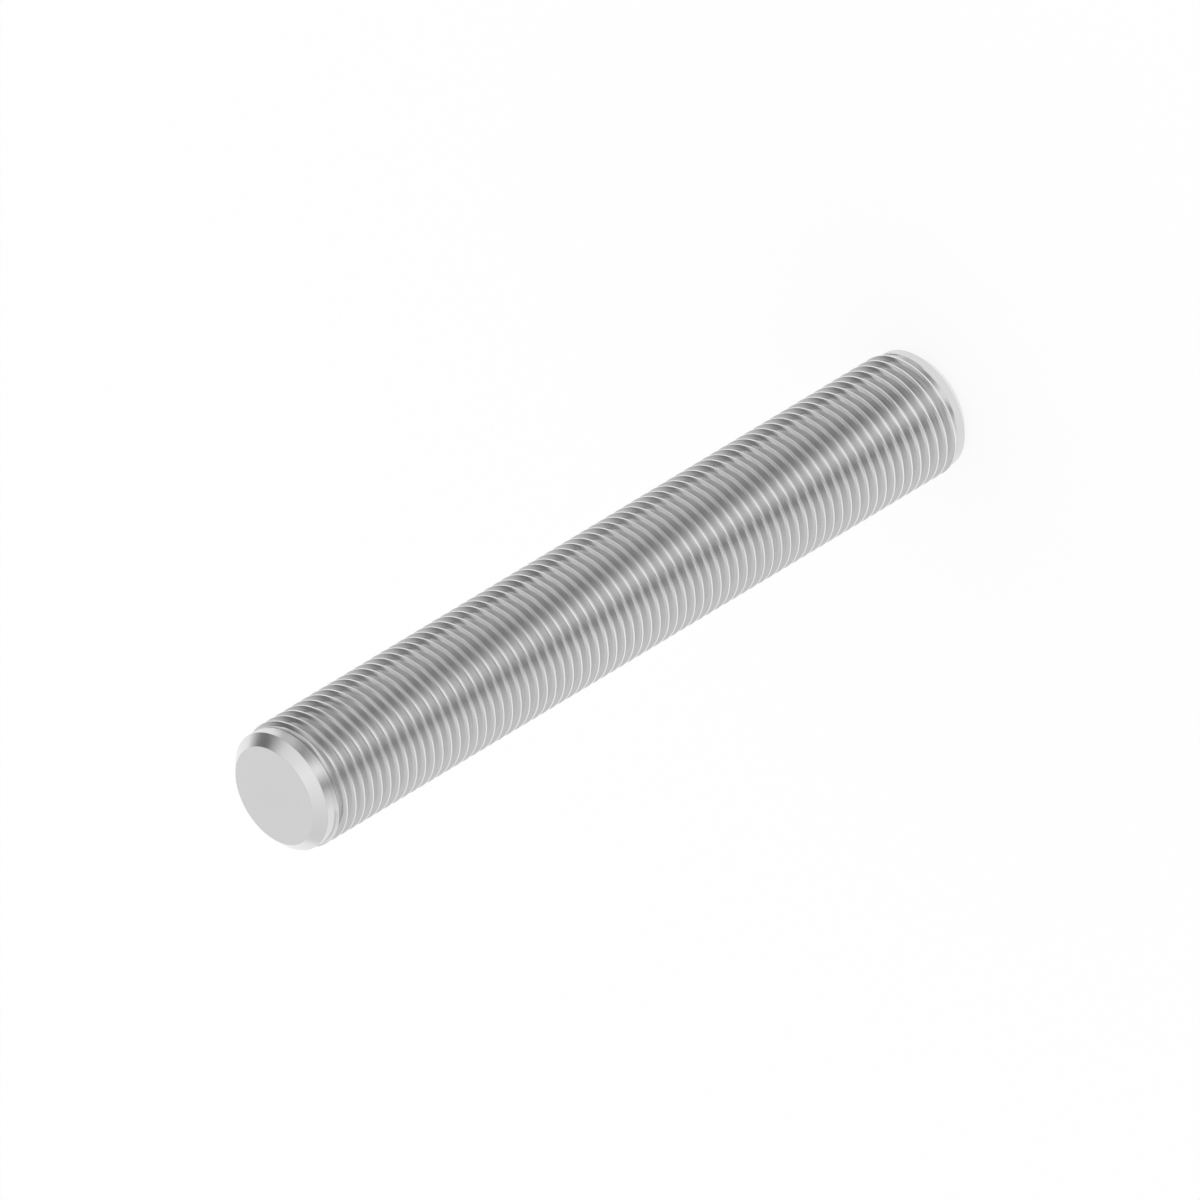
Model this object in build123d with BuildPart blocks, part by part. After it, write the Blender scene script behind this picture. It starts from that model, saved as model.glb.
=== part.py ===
from build123d import *
from math import cos, radians, sin, tan
import os

# Stud bolt: a steel rod threaded from end to end, for a nut on each end.
# Millimetres. The axis is +Z, and the origin is the middle of the lower end
# face, on which the stud stands. The thread is right-handed, with one start
# and the ISO metric 60 degree profile.

# ------------------------------------------------------------------ sizes
thread_diameter = 33.0  # over the crests
thread_pitch = 3.0
thread_angle = 60.0  # between the two flanks
overall_length = 225.0  # end face to end face
collar_depth = 0.7  # of the plain band at each end, under the crests
collar_length = 2.0
end_chamfer = 2.6  # 45 degrees, from the collar down to the end face
lead_length = 1.6  # cone on which the first crests rise from the collar
runout_length = 3.0  # stretch over which the groove sinks to its full depth

# ----------------------------------------------- worked out from the sizes
# ISO 68-1 design profile: a crest flat of P/8 and a root arc of H/6, where H
# is the height of the sharp triangle.
half_angle = radians(thread_angle / 2)
sharp_height = thread_pitch / 2 / tan(half_angle)
crest_flat = thread_pitch / 8
root_arc = sharp_height / 6

crest_radius = thread_diameter / 2
sharp_crest_radius = crest_radius + crest_flat / 2 / tan(half_angle)
sharp_root_radius = sharp_crest_radius - sharp_height
root_arc_centre = sharp_root_radius + root_arc / sin(half_angle)
root_radius = root_arc_centre - root_arc

collar_radius = crest_radius - collar_depth
end_face_radius = collar_radius - end_chamfer
collar_end = end_chamfer + collar_length
lead_end = collar_end + lead_length

# The groove makes whole turns, so that both ends are alike, and it starts
# inside the collars, where the end cores fill it again.
collar_middle = end_chamfer + collar_length / 2
groove_turns = round((overall_length - 2 * collar_middle) / thread_pitch)
groove_start = (overall_length - groove_turns * thread_pitch) / 2

# The cutter stands this far out of the crests. Past 0.108 of the pitch, its
# turns would meet each other.
cutter_overshoot = thread_pitch / 16

# ----------------------------------------------------------- thread groove
# The cutter's section stands in the XZ plane at the start of the helix: two
# straight flanks, and the root arc tangent to both.
cutter_radius = crest_radius + cutter_overshoot
cutter_half_width = (cutter_radius - sharp_root_radius) * tan(half_angle)
flank_foot_radius = root_arc_centre - root_arc * sin(half_angle)
foot_half_width = root_arc * cos(half_angle)

with BuildPart() as groove:
    with BuildLine() as helix:
        for turn in range(groove_turns):
            Helix(
                pitch=thread_pitch,
                height=thread_pitch,
                radius=crest_radius,
                center=(0, 0, groove_start + turn * thread_pitch),
            )
    with BuildSketch(Plane.XZ):
        with BuildLine():
            outer_low = (cutter_radius, groove_start - cutter_half_width)
            outer_high = (cutter_radius, groove_start + cutter_half_width)
            foot_low = (flank_foot_radius, groove_start - foot_half_width)
            foot_high = (flank_foot_radius, groove_start + foot_half_width)
            Line(outer_high, outer_low)
            Line(outer_low, foot_low)
            ThreePointArc(foot_low, (root_radius, groove_start), foot_high)
            Line(foot_high, outer_high)
        make_face()
    sweep(path=helix.wires()[0], is_frenet=True)

# ---------------------------------------------------------------- end core
# What the groove leaves whole at an end: end face, chamfer, collar, and a cone
# that sinks through the thread's root as the groove runs in. The cone passes
# the root at the end of the run-out, and ends a little deeper, inside the rod.
core_reach = 1.25 * runout_length
core_tip_radius = collar_radius - (collar_radius - root_radius) * core_reach / runout_length

with BuildPart() as end_core:
    with BuildSketch(Plane.XZ):
        with BuildLine():
            Polyline(
                (0, 0),
                (end_face_radius, 0),
                (collar_radius, end_chamfer),
                (collar_radius, collar_end),
                (core_tip_radius, collar_end + core_reach),
                (0, collar_end + core_reach),
                close=True,
            )
        make_face()
    revolve(axis=Axis.Z)

# --------------------------------------------------------------- the stud
with BuildPart() as stud_bolt:
    # the rod that the thread is cut into, up to its crests
    with BuildSketch(Plane.XZ):
        with BuildLine():
            Polyline(
                (0, 0),
                (end_face_radius, 0),
                (collar_radius, end_chamfer),
                (collar_radius, collar_end),
                (crest_radius, lead_end),
                (crest_radius, overall_length - lead_end),
                (collar_radius, overall_length - collar_end),
                (collar_radius, overall_length - end_chamfer),
                (end_face_radius, overall_length),
                (0, overall_length),
                close=True,
            )
        make_face()
    revolve(axis=Axis.Z)

    add(groove.part, mode=Mode.SUBTRACT)

    # each end's core closes the groove's start and fades the groove in
    add(end_core.part)
    mirror(end_core.part, about=Plane.XY.offset(overall_length / 2))

stud_bolt.part.label = "stud_bolt"

os.makedirs("parts", exist_ok=True)
export_step(stud_bolt.part, "parts/stud_bolt.step")
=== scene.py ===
import math

import bpy
import numpy as np
from mathutils import Matrix, Vector


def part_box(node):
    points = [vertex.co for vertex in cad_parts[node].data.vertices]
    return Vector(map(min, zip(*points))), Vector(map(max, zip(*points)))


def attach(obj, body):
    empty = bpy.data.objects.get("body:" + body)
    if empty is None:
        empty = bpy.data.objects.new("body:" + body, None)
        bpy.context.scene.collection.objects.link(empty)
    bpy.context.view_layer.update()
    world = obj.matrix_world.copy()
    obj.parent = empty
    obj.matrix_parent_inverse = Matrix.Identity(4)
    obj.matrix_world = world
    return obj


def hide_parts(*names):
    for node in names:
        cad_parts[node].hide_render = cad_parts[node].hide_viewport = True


# A steel stud bolt, standing on its end. The frame gives its place and size; the thread is built
# again here as a fine helical skin with rolled, softly rounded edges. Lengths are in metres.

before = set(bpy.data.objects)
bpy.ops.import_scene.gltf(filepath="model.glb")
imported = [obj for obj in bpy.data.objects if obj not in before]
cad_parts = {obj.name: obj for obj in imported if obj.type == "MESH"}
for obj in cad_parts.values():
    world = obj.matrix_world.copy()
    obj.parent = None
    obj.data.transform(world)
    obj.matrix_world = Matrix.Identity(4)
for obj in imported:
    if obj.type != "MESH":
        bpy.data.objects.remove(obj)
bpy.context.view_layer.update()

MM = 0.001

# ---------------------------------------------------------------- the stud's sizes, from the frame
node_low, node_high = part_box("stud_bolt")
LENGTH = node_high.z - node_low.z
CREST_RADIUS = (node_high.x - node_low.x) / 2

# sizes that the frame's box doesn't give: the same as in the part's source
PITCH = 3.0 * MM
HALF_ANGLE = math.radians(30.0)
COLLAR_RADIUS = 15.8 * MM
COLLAR_LENGTH = 2.0 * MM
END_CHAMFER = 2.6 * MM
LEAD_LENGTH = 1.6 * MM
RUNOUT_LENGTH = 3.0 * MM

# worked out, as on the ISO 68-1 design profile
SHARP_HEIGHT = PITCH / 2 / math.tan(HALF_ANGLE)
CREST_FLAT = PITCH / 8
ROOT_ARC = SHARP_HEIGHT / 6
SHARP_ROOT = CREST_RADIUS + CREST_FLAT / 2 / math.tan(HALF_ANGLE) - SHARP_HEIGHT
ROOT_ARC_CENTRE = SHARP_ROOT + ROOT_ARC / math.sin(HALF_ANGLE)
ROOT_ARC_FOOT = ROOT_ARC * math.cos(HALF_ANGLE)  # where the arc meets a flank, off the groove's middle
ROOT_RADIUS = ROOT_ARC_CENTRE - ROOT_ARC
COLLAR_END = END_CHAMFER + COLLAR_LENGTH
TURNS = round((LENGTH - 2 * END_CHAMFER - COLLAR_LENGTH) / PITCH)
GROOVE_START = (LENGTH - TURNS * PITCH) / 2

# edge softness left by rolling and by the turning tool
CREST_ROUND = 0.07 * MM
CREST_DOME = 0.03 * MM
RUNOUT_ROUND = 0.2 * MM
TURNED_ROUND = 0.12 * MM

# the mesh
COLUMNS = 96  # round the stud
AROUND = np.arange(COLUMNS) * math.tau / COLUMNS
FACE_RINGS = (0.75, 0.45, 0.15)  # shares of an end face's radius
SLOPE_STEP = 1e-6  # over which the thread's slope is taken
ROW_GAP = 1e-7  # a row nearer to a collar than this is part of the collar's edge


# ----------------------------------------------------------------------------- shape of the thread
def soft_min(a, b, width):
    """The lower of two surfaces, with the crease between them rounded over this width."""
    near = np.clip(1 - np.abs(a - b) / width, 0, 1)
    return np.minimum(a, b) - near**2 * width / 4


def soft_max(a, b, width):
    return -soft_min(-a, -b, width)


def groove_radius(offset):
    """Radius of the V groove, by distance along the axis from its middle. Its flanks go on outward."""
    offset = np.abs(offset)
    arc = ROOT_ARC_CENTRE - np.sqrt(ROOT_ARC**2 - np.minimum(offset, ROOT_ARC_FOOT) ** 2)
    flank = SHARP_ROOT + offset / math.tan(HALF_ANGLE)
    return np.where(offset <= ROOT_ARC_FOOT, arc, flank)


def stud_radius(angle, height):
    """Radius of the threaded stretch, between the two collars, at an angle and a height."""
    turn = (height - GROOVE_START) / PITCH - angle / math.tau
    offset = (turn - np.round(turn)) * PITCH
    from_end = np.minimum(height, LENGTH - height) - COLLAR_END
    rise = np.clip(from_end / LEAD_LENGTH, 0, 1)
    dome = np.clip((PITCH / 2 - np.abs(offset)) / (CREST_FLAT / 2), 0, 1) ** 2 * CREST_DOME
    crest = COLLAR_RADIUS + (CREST_RADIUS - COLLAR_RADIUS) * rise - dome
    core = COLLAR_RADIUS - (COLLAR_RADIUS - ROOT_RADIUS) * from_end / RUNOUT_LENGTH
    groove = soft_max(groove_radius(offset), core, RUNOUT_ROUND)
    return soft_min(groove, crest, CREST_ROUND)


def thread_normals(angle, height):
    """Outward normals of the threaded stretch, from the slope of its radius."""
    above = stud_radius(angle, height + SLOPE_STEP)
    below = stud_radius(angle, height - SLOPE_STEP)
    upward = (above - below) / (2 * SLOPE_STEP)
    turn_step = SLOPE_STEP / CREST_RADIUS
    ahead = stud_radius(angle + turn_step, height) - stud_radius(angle - turn_step, height)
    sideways = ahead / (2 * turn_step) / stud_radius(angle, height)
    cos, sin = np.cos(angle), np.sin(angle)
    normal = np.stack([cos + sideways * sin, sin - sideways * cos, -upward], axis=-1)
    return normal / np.linalg.norm(normal, axis=-1, keepdims=True)


def row_offsets():
    """Where the mesh's rows cross one pitch, from one groove's middle to the next."""
    crest_edge = PITCH / 2 - CREST_FLAT / 2
    soft = CREST_ROUND * math.tan(HALF_ANGLE)
    mid_flank = (ROOT_ARC_FOOT + crest_edge) / 2
    rising = [ROOT_ARC_FOOT, mid_flank, crest_edge - soft, crest_edge, crest_edge + soft]
    return np.array([0.0, *rising, PITCH / 2, *[PITCH - r for r in reversed(rising)]])


# ------------------------------------------------------------------------------------- mesh of the stud
def on_circle(radius, angle, height):
    """Coordinates at a radius, an angle and a height, for arrays of any one shape."""
    return np.stack([radius * np.cos(angle), radius * np.sin(angle), height], axis=-1)


def helical_rows():
    """Points, normals and the grid of vertex numbers of the threaded stretch.

    Rows follow the thread and stop at the collars: the first COLUMNS vertices are the lower collar's
    edge, and the next COLUMNS the upper one's. The grid has a column for each angle and one more, which
    repeats the first a turn further on."""
    offsets = row_offsets()
    turns = np.arange(-1, TURNS + 2)
    at_angle_0 = (turns[:, None] * PITCH + offsets[None, :]).ravel() + GROOVE_START
    climbing = at_angle_0[None, :] + PITCH * (AROUND / math.tau)[:, None]
    low, high = COLLAR_END, LENGTH - COLLAR_END
    inside = (climbing > low + ROW_GAP) & (climbing < high - ROW_GAP)
    column = np.broadcast_to(np.arange(COLUMNS)[:, None], climbing.shape)
    numbers = np.where(climbing <= low + ROW_GAP, column, column + COLUMNS)
    numbers[inside] = np.arange(inside.sum()) + 2 * COLUMNS
    turn_on = np.full(climbing.shape[1], COLUMNS)
    turn_on[: -len(offsets)] = numbers[0, len(offsets):]
    angles = np.concatenate([AROUND, AROUND, np.broadcast_to(AROUND[:, None], climbing.shape)[inside]])
    heights = np.concatenate([np.full(COLUMNS, low), np.full(COLUMNS, high), climbing[inside]])
    points = on_circle(stud_radius(angles, heights), angles, heights)
    return points, thread_normals(angles, heights), np.vstack([numbers, turn_on])


def grid_faces(numbers):
    """Faces of a grid of vertex numbers; where two corners are one vertex, the face is a triangle."""
    a, b = numbers[:-1, :-1].ravel(), numbers[1:, :-1].ravel()
    c, d = numbers[1:, 1:].ravel(), numbers[:-1, 1:].ravel()
    faces = []
    for corners in zip(a.tolist(), b.tolist(), c.tolist(), d.tolist()):
        kept = list(dict.fromkeys(corners))
        if len(kept) > 2:
            faces.append(kept)
    return faces


def end_profile():
    """From a collar to its end face: radius, depth from the end face, and the normal's two parts.

    Those are its part away from the axis and its part out of the end face. Both edges of the
    chamfer turn by 45 degrees, and each is rounded over TURNED_ROUND with a point in its middle."""
    half = TURNED_ROUND / 2
    diagonal = math.sqrt(0.5)
    along_chamfer = half * diagonal
    cut = 0.12 * TURNED_ROUND  # from a sharp edge in to the middle of its rounding, across the flat side
    shift = 0.4 * cut  # and along the flat side
    mostly, partly = math.cos(math.pi / 8), math.sin(math.pi / 8)
    face_radius = COLLAR_RADIUS - END_CHAMFER
    return [
        (COLLAR_RADIUS, COLLAR_END - COLLAR_LENGTH / 2, 1, 0),
        (COLLAR_RADIUS, END_CHAMFER + half, 1, 0),
        (COLLAR_RADIUS - cut, END_CHAMFER + shift, mostly, partly),
        (COLLAR_RADIUS - along_chamfer, END_CHAMFER - along_chamfer, diagonal, diagonal),
        (face_radius + along_chamfer, along_chamfer, diagonal, diagonal),
        (face_radius - shift, cut, partly, mostly),
        (face_radius - half, 0, 0, 1),
        *[(face_radius * share, 0, 0, 1) for share in FACE_RINGS],
    ]


def end_rings(first_ring, start, upper):
    """Rings from a collar's end to the middle of the end face: points, normals and faces."""
    outward_sign = 1 if upper else -1
    points, normals, faces = [], [], []
    ring = list(first_ring)
    for radius, depth, radial, outward in end_profile():
        height = LENGTH - depth if upper else depth
        points.append(on_circle(radius, AROUND, np.full(COLUMNS, height)))
        normals.append(on_circle(radial, AROUND, np.full(COLUMNS, outward_sign * outward)))
        following = list(range(start, start + COLUMNS))
        start += COLUMNS
        for j in range(COLUMNS):
            k = (j + 1) % COLUMNS
            face = [ring[j], ring[k], following[k], following[j]]
            faces.append(face if upper else face[::-1])
        ring = following
    points.append(np.array([[0, 0, LENGTH if upper else 0.0]]))
    normals.append(np.array([[0, 0, float(outward_sign)]]))
    for j in range(COLUMNS):
        face = [ring[j], ring[(j + 1) % COLUMNS], start]
        faces.append(face if upper else face[::-1])
    return np.concatenate(points), np.concatenate(normals), faces


def stud_mesh():
    """The whole skin of the stud as one closed mesh. Material 0 is the thread and 1 the turned ends."""
    points, normals, numbers = helical_rows()
    thread_faces = grid_faces(numbers)
    lower = end_rings(range(COLUMNS), len(points), upper=False)
    upper = end_rings(range(COLUMNS, 2 * COLUMNS), len(points) + len(lower[0]), upper=True)
    points = np.concatenate([points, lower[0], upper[0]])
    normals = np.concatenate([normals, lower[1], upper[1]])
    end_faces = lower[2] + upper[2]
    points[:, 2] += node_low.z
    mesh = bpy.data.meshes.new("stud_skin")
    mesh.from_pydata(points.tolist(), [], thread_faces + end_faces)
    material = [0] * len(thread_faces) + [1] * len(end_faces)
    mesh.polygons.foreach_set("material_index", material)
    mesh.polygons.foreach_set("use_smooth", [True] * len(material))
    mesh.normals_split_custom_set_from_vertices(normals.tolist())
    mesh.validate()
    mesh.update()
    return mesh


# ----------------------------------------------------------------------------------------- shader nodes
def new_material(name):
    material = bpy.data.materials.new(name)
    material.use_nodes = True
    nodes = material.node_tree.nodes
    nodes.clear()
    output = nodes.new("ShaderNodeOutputMaterial")
    return material, nodes, material.node_tree.links, output


def set_or_link(links, socket, value):
    """Gives a socket a constant, or joins it to another node's output."""
    if isinstance(value, bpy.types.NodeSocket):
        links.new(value, socket)
    else:
        socket.default_value = value


def math_node(nodes, links, operation, a, b):
    node = nodes.new("ShaderNodeMath")
    node.operation = operation
    set_or_link(links, node.inputs[0], a)
    set_or_link(links, node.inputs[1], b)
    return node.outputs[0]


def scaled(nodes, links, vector, factor):
    node = nodes.new("ShaderNodeVectorMath")
    node.operation = "SCALE"
    node.inputs["Scale"].default_value = factor
    links.new(vector, node.inputs[0])
    return node.outputs[0]


def mixed_colours(nodes, links, blend_type, factor, first, second):
    """A Mix node for colours. Its sockets go by number, because those for floats have the same names."""
    node = nodes.new("ShaderNodeMix")
    node.data_type = "RGBA"
    node.blend_type = blend_type
    set_or_link(links, node.inputs[0], factor)
    set_or_link(links, node.inputs[6], first)
    set_or_link(links, node.inputs[7], second)
    return node.outputs[2]


def ramp(nodes, links, value, stops):
    """Grey levels by value, as (value, level) stops."""
    node = nodes.new("ShaderNodeValToRGB")
    elements = node.color_ramp.elements
    while len(elements) < len(stops):
        elements.new(0.5)
    for element, (place, level) in zip(elements, stops):
        element.position = place
        element.color = (level, level, level, 1)
    links.new(value, node.inputs["Fac"])
    return node.outputs["Color"]


def split_position(nodes, links, position):
    """A position's X, Y, Z and distance from the vertical axis."""
    split = nodes.new("ShaderNodeSeparateXYZ")
    links.new(position, split.inputs[0])
    flat = nodes.new("ShaderNodeCombineXYZ")
    links.new(split.outputs["X"], flat.inputs["X"])
    links.new(split.outputs["Y"], flat.inputs["Y"])
    length = nodes.new("ShaderNodeVectorMath")
    length.operation = "LENGTH"
    links.new(flat.outputs[0], length.inputs[0])
    return split.outputs["X"], split.outputs["Y"], split.outputs["Z"], length.outputs["Value"]


# ------------------------------------------------------------------------------------------------ steel
# Grey by radius in millimetres: painted shade darkens the thread's roots, and a painted highlight makes
# its crest tops near white.
THREAD_TONES_AND_PAINTED_LIGHT = [(14.6, 0.62), (15.0, 0.72), (16.484, 0.74), (16.496, 0.98)]
# On the ends, painted shade makes the collar darker than the end face and the chamfer.
END_TONES_AND_PAINTED_SHADE = [(0.0, 0.79), (15.6, 0.80), (15.75, 0.73)]
LINES_PER_MM = 9.0
LINE_DRIFT = 0.02  # how fast the fine lines change along their run, per millimetre
BAND_LINES = 6  # fine lines to a broad band
BAND_DRIFT = 0.05
NOISE_RANGE = (0.3, 0.7)  # nearly all of the noise lies in it
ROUGHNESS_SPREAD = (0.85, 1.2)


def streaks(nodes, links, position, across, lines_per_mm, drift_per_mm, detail):
    """Fine lines that run round the stud: noise that is quick across them and slow along them."""
    noise = nodes.new("ShaderNodeTexNoise")
    noise.noise_dimensions = "4D"
    noise.inputs["Scale"].default_value = 1.0
    noise.inputs["Detail"].default_value = detail
    links.new(scaled(nodes, links, position, drift_per_mm), noise.inputs["Vector"])
    links.new(math_node(nodes, links, "MULTIPLY", across, lines_per_mm), noise.inputs["W"])
    return noise.outputs["Fac"]


def steel(name, tones_and_painted_light, ruled_over_height, mottle, roughness, bump_depth):
    """Bright steel with fine lines round the stud, ruled over the radius or over radius and height."""
    material, nodes, links, output = new_material(name)
    where = nodes.new("ShaderNodeTexCoord")
    position = scaled(nodes, links, where.outputs["Object"], 1 / MM)
    _, _, height, radius = split_position(nodes, links, position)
    ruled = math_node(nodes, links, "ADD", radius, height) if ruled_over_height else radius
    fine = streaks(nodes, links, position, ruled, LINES_PER_MM, LINE_DRIFT, detail=3.0)
    broad = streaks(nodes, links, position, ruled, LINES_PER_MM / BAND_LINES, BAND_DRIFT, detail=1.0)
    # Grey by radius, as the tones give: painted shade in the thread's roots and a painted highlight on
    # its crests; on the ends, painted shade on the collar.
    outermost = CREST_RADIUS / MM
    place = math_node(nodes, links, "DIVIDE", radius, outermost)
    tone_and_painted_light = ramp(nodes, links, place, [(r / outermost, level) for r, level in tones_and_painted_light])
    speckle = ramp(nodes, links, fine, list(zip(NOISE_RANGE, (1 - mottle, 1.0))))
    shader = nodes.new("ShaderNodeBsdfPrincipled")
    shader.inputs["Metallic"].default_value = 1.0
    links.new(mixed_colours(nodes, links, "MULTIPLY", 1.0, tone_and_painted_light, speckle), shader.inputs["Base Color"])
    rough = ramp(nodes, links, broad, [(n, roughness * s) for n, s in zip(NOISE_RANGE, ROUGHNESS_SPREAD)])
    links.new(rough, shader.inputs["Roughness"])
    bump = nodes.new("ShaderNodeBump")
    bump.inputs["Strength"].default_value = 1.0
    bump.inputs["Distance"].default_value = bump_depth
    links.new(fine, bump.inputs["Height"])
    links.new(bump.outputs["Normal"], shader.inputs["Normal"])
    links.new(shader.outputs["BSDF"], output.inputs["Surface"])
    return material


# ---------------------------------------------------------------------------------- white room and floor
FLOOR_REACH = 8.0
FLOOR_PAINT = 0.98
FLOOR_PAINT_SHARE = 0.15  # the lit share of what is seen, which keeps the stud's shadow


def stage_object(name, points, faces, material):
    mesh = bpy.data.meshes.new(name)
    mesh.from_pydata(points, [], faces)
    mesh.materials.append(material)
    thing = bpy.data.objects.new(name, mesh)
    thing.location.z = node_low.z
    bpy.context.scene.collection.objects.link(thing)
    return thing


def floor_material():
    """Seen as white by the camera and in reflections, but for a share of paint. To light it is paint."""
    material, nodes, links, output = new_material("pale_floor")
    paint = nodes.new("ShaderNodeBsdfDiffuse")
    paint.inputs["Color"].default_value = (FLOOR_PAINT, FLOOR_PAINT, FLOOR_PAINT, 1)
    glow = nodes.new("ShaderNodeEmission")
    glow.inputs["Color"].default_value = (1, 1, 1, 1)
    glow.inputs["Strength"].default_value = 1.0
    path = nodes.new("ShaderNodeLightPath").outputs
    seen = math_node(nodes, links, "MAXIMUM", path["Is Camera Ray"], path["Is Glossy Ray"])
    seen = math_node(nodes, links, "MAXIMUM", seen, path["Is Transmission Ray"])
    mix = nodes.new("ShaderNodeMixShader")
    links.new(math_node(nodes, links, "MULTIPLY", seen, 1 - FLOOR_PAINT_SHARE), mix.inputs["Fac"])
    links.new(paint.outputs["BSDF"], mix.inputs[1])
    links.new(glow.outputs["Emission"], mix.inputs[2])
    links.new(mix.outputs["Shader"], output.inputs["Surface"])
    return material


def white_floor():
    turns = ((-1, -1), (1, -1), (1, 1), (-1, 1))
    corners = [(x * FLOOR_REACH, y * FLOOR_REACH, 0) for x, y in turns]
    stage_object("floor", corners, [(0, 1, 2, 3)], floor_material())


def even_world():
    """An even white room, at a strength of 1."""
    world = bpy.data.worlds.new("studio")
    bpy.context.scene.world = world
    world.use_nodes = True
    background = world.node_tree.nodes["Background"]
    background.inputs["Color"].default_value = (1, 1, 1, 1)
    background.inputs["Strength"].default_value = 1.0


# ------------------------------------------------------------------------------------------- grey cards
# Bright metal in a white room looks flat, so a studio puts grey cards round it. These show in the
# steel alone. Their levels go by azimuth in degrees, which is 0 at -Y and grows towards -X.
LEFT_CARD = [
    (-90, 1.0), (-74, 0.6), (-56, 0.66), (-43, 0.48), (-32, 0.36), (-21, 0.5), (-11, 0.8), (-4, 1.0),
]
RIGHT_CARD = [
    (4, 1.0), (11, 0.78), (21, 0.45), (27, 0.4), (33, 0.6), (44, 0.82), (56, 0.92), (64, 1.0),
]
CARD_RADIUS = 40 * MM  # they are bowed round the stud
CARD_HEIGHT = 235 * MM
CARD_STEPS = 48
CEILING_CARD = [
    (-180, 0.8), (-147, 0.85), (-134, 0.6), (-122, 0.2), (-106, 0.14), (-95, 0.4), (-75, 0.8), (0, 1.0),
    (90, 0.78), (130, 0.74), (180, 0.8),
]
CEILING_HEIGHT = 0.5
CEILING_RADIUS = 3.0
CEILING_STEPS = 64
CEILING_MIDDLE = 0.4  # its level right over the stud
CEILING_MIDDLE_RADII = (0.09, 0.17)  # from there it goes over to the levels above


def card_material(name, levels, middle=None):
    """A card of these levels. The middle is a level of its own and the two radii that it ends between."""
    material, nodes, links, output = new_material(name)
    where = nodes.new("ShaderNodeTexCoord")
    x, y, _, distance = split_position(nodes, links, where.outputs["Object"])
    x = math_node(nodes, links, "MULTIPLY", x, -1.0)
    y = math_node(nodes, links, "MULTIPLY", y, -1.0)
    azimuth = math_node(nodes, links, "ARCTAN2", x, y)
    place = math_node(nodes, links, "ADD", math_node(nodes, links, "DIVIDE", azimuth, math.tau), 0.5)
    level = ramp(nodes, links, place, [(degrees / 360 + 0.5, grey) for degrees, grey in levels])
    if middle is not None:
        grey, (inner, outer) = middle
        past = nodes.new("ShaderNodeMapRange")
        past.interpolation_type = "SMOOTHSTEP"
        past.inputs["From Min"].default_value = inner
        past.inputs["From Max"].default_value = outer
        links.new(distance, past.inputs["Value"])
        level = mixed_colours(nodes, links, "MIX", past.outputs["Result"], (grey, grey, grey, 1), level)
    glow = nodes.new("ShaderNodeEmission")
    glow.inputs["Strength"].default_value = 1.0
    links.new(level, glow.inputs["Color"])
    links.new(glow.outputs["Emission"], output.inputs["Surface"])
    return material


def show_in_steel_only(thing):
    thing.visible_camera = False
    thing.visible_diffuse = False
    thing.visible_transmission = False
    thing.visible_shadow = False


def standing_card(name, levels):
    """A bowed card beside the lens, standing on the floor."""
    first, last = levels[0][0], levels[-1][0]
    points, faces = [], []
    for i in range(CARD_STEPS + 1):
        azimuth = math.radians(first + (last - first) * i / CARD_STEPS)
        x, y = -CARD_RADIUS * math.sin(azimuth), -CARD_RADIUS * math.cos(azimuth)
        points += [(x, y, 0.0), (x, y, CARD_HEIGHT)]
        if i:
            faces.append((2 * i - 2, 2 * i, 2 * i + 1, 2 * i - 1))
    show_in_steel_only(stage_object(name, points, faces, card_material(name + "_grey", levels)))


def ceiling_card():
    turns = [math.tau * i / CEILING_STEPS for i in range(CEILING_STEPS)]
    points = [(CEILING_RADIUS * math.cos(t), CEILING_RADIUS * math.sin(t), CEILING_HEIGHT) for t in turns]
    material = card_material("ceiling_grey", CEILING_CARD, (CEILING_MIDDLE, CEILING_MIDDLE_RADII))
    show_in_steel_only(stage_object("ceiling_card", points, [tuple(range(CEILING_STEPS))], material))


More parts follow.
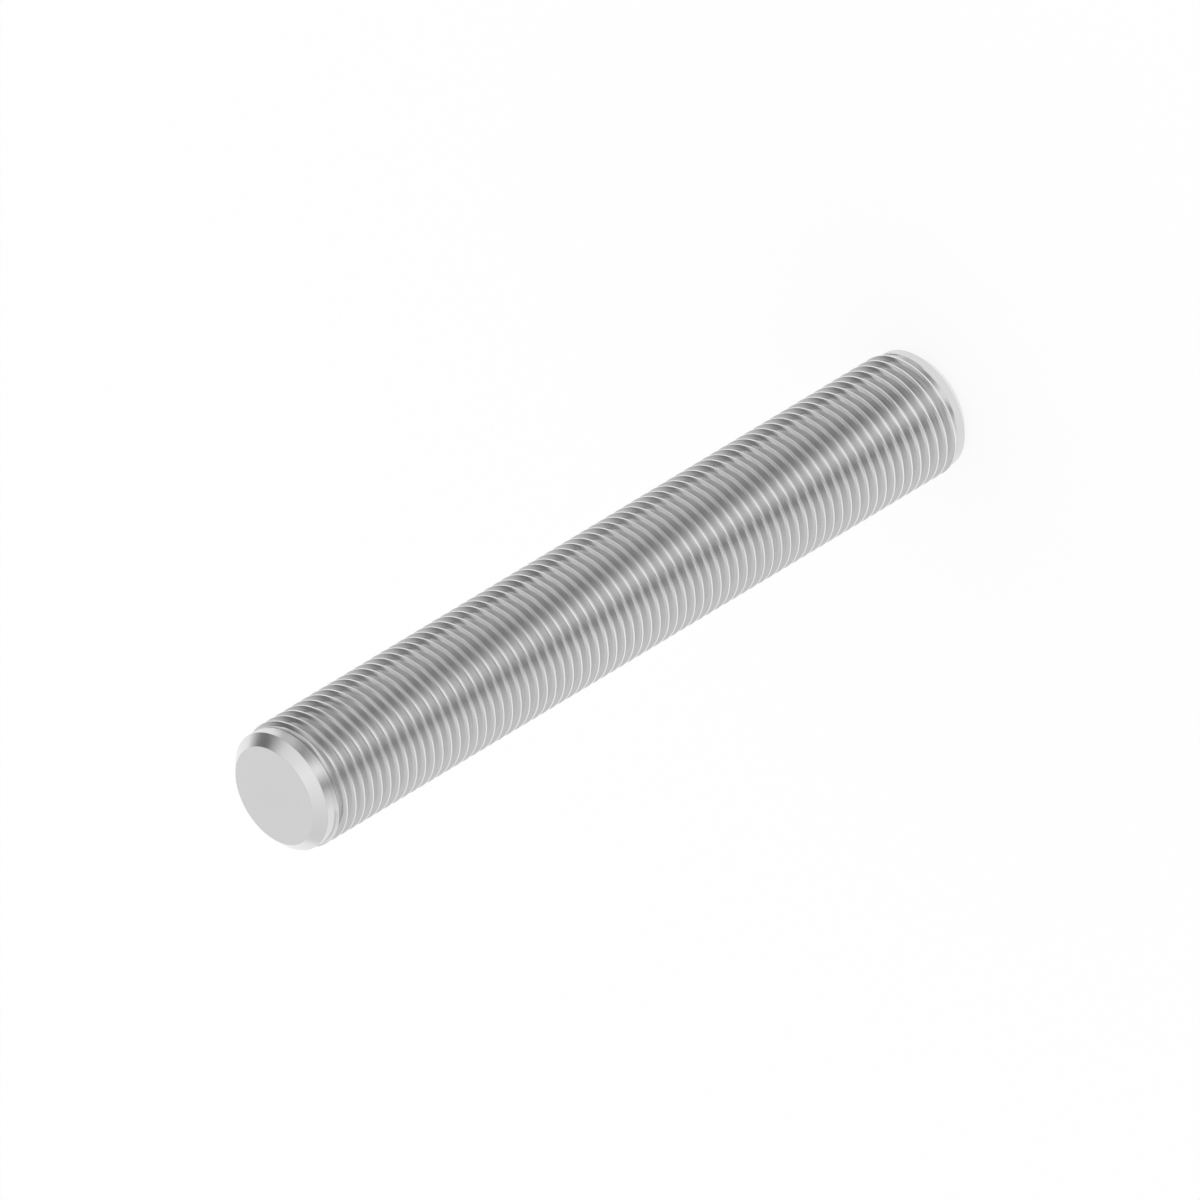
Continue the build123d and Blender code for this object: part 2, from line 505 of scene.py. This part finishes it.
# ----------------------------------------------------------------------------------------------- camera
VIEW_ELEVATION = math.radians(34.96)  # 55 degrees between the line of sight and the stud's axis
AXIS_SLOPE = math.radians(31.0)  # of the stud across the picture, upper end at the lower left
PICTURE_SIDE = 0.291
VIEW_DISTANCE = 0.8
VIEW_NEAR, VIEW_FAR = 0.01, 50


def camera_axes():
    """Right, up and back of the camera, which is turned so that the stud lies across the picture."""
    back = Vector((0, -math.cos(VIEW_ELEVATION), math.sin(VIEW_ELEVATION)))
    along = (Vector((0, 0, 1)) - back * back.z).normalized()
    beside = back.cross(along)
    right = -along * math.cos(AXIS_SLOPE) + beside * math.sin(AXIS_SLOPE)
    up = -along * math.sin(AXIS_SLOPE) - beside * math.cos(AXIS_SLOPE)
    return right, up, back


def add_camera():
    right, up, back = camera_axes()
    data = bpy.data.cameras.new("camera")
    data.type = "ORTHO"
    data.ortho_scale = PICTURE_SIDE
    data.clip_start, data.clip_end = VIEW_NEAR, VIEW_FAR
    camera = bpy.data.objects.new("camera", data)
    centre = (node_low + node_high) / 2
    turned = Matrix((right, up, back)).transposed().to_4x4()
    camera.matrix_world = Matrix.Translation(centre + back * VIEW_DISTANCE) @ turned
    bpy.context.scene.collection.objects.link(camera)
    bpy.context.scene.camera = camera


# ------------------------------------------------------------------------------------------------ build
thread_steel = steel("rolled_thread", THREAD_TONES_AND_PAINTED_LIGHT, ruled_over_height=False, mottle=0.12, roughness=0.2,
                     bump_depth=0.004 * MM)
turned_steel = steel("turned_ends", END_TONES_AND_PAINTED_SHADE, ruled_over_height=True, mottle=0.03, roughness=0.2,
                     bump_depth=0.0005 * MM)
stud = bpy.data.objects.new("threaded_stud", stud_mesh())
bpy.context.scene.collection.objects.link(stud)
stud.data.materials.append(thread_steel)
stud.data.materials.append(turned_steel)
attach(stud, "root")
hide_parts("stud_bolt")

white_floor()
even_world()
standing_card("left_card", LEFT_CARD)
standing_card("right_card", RIGHT_CARD)
ceiling_card()
add_camera()
bpy.context.scene.view_settings.view_transform = "Standard"
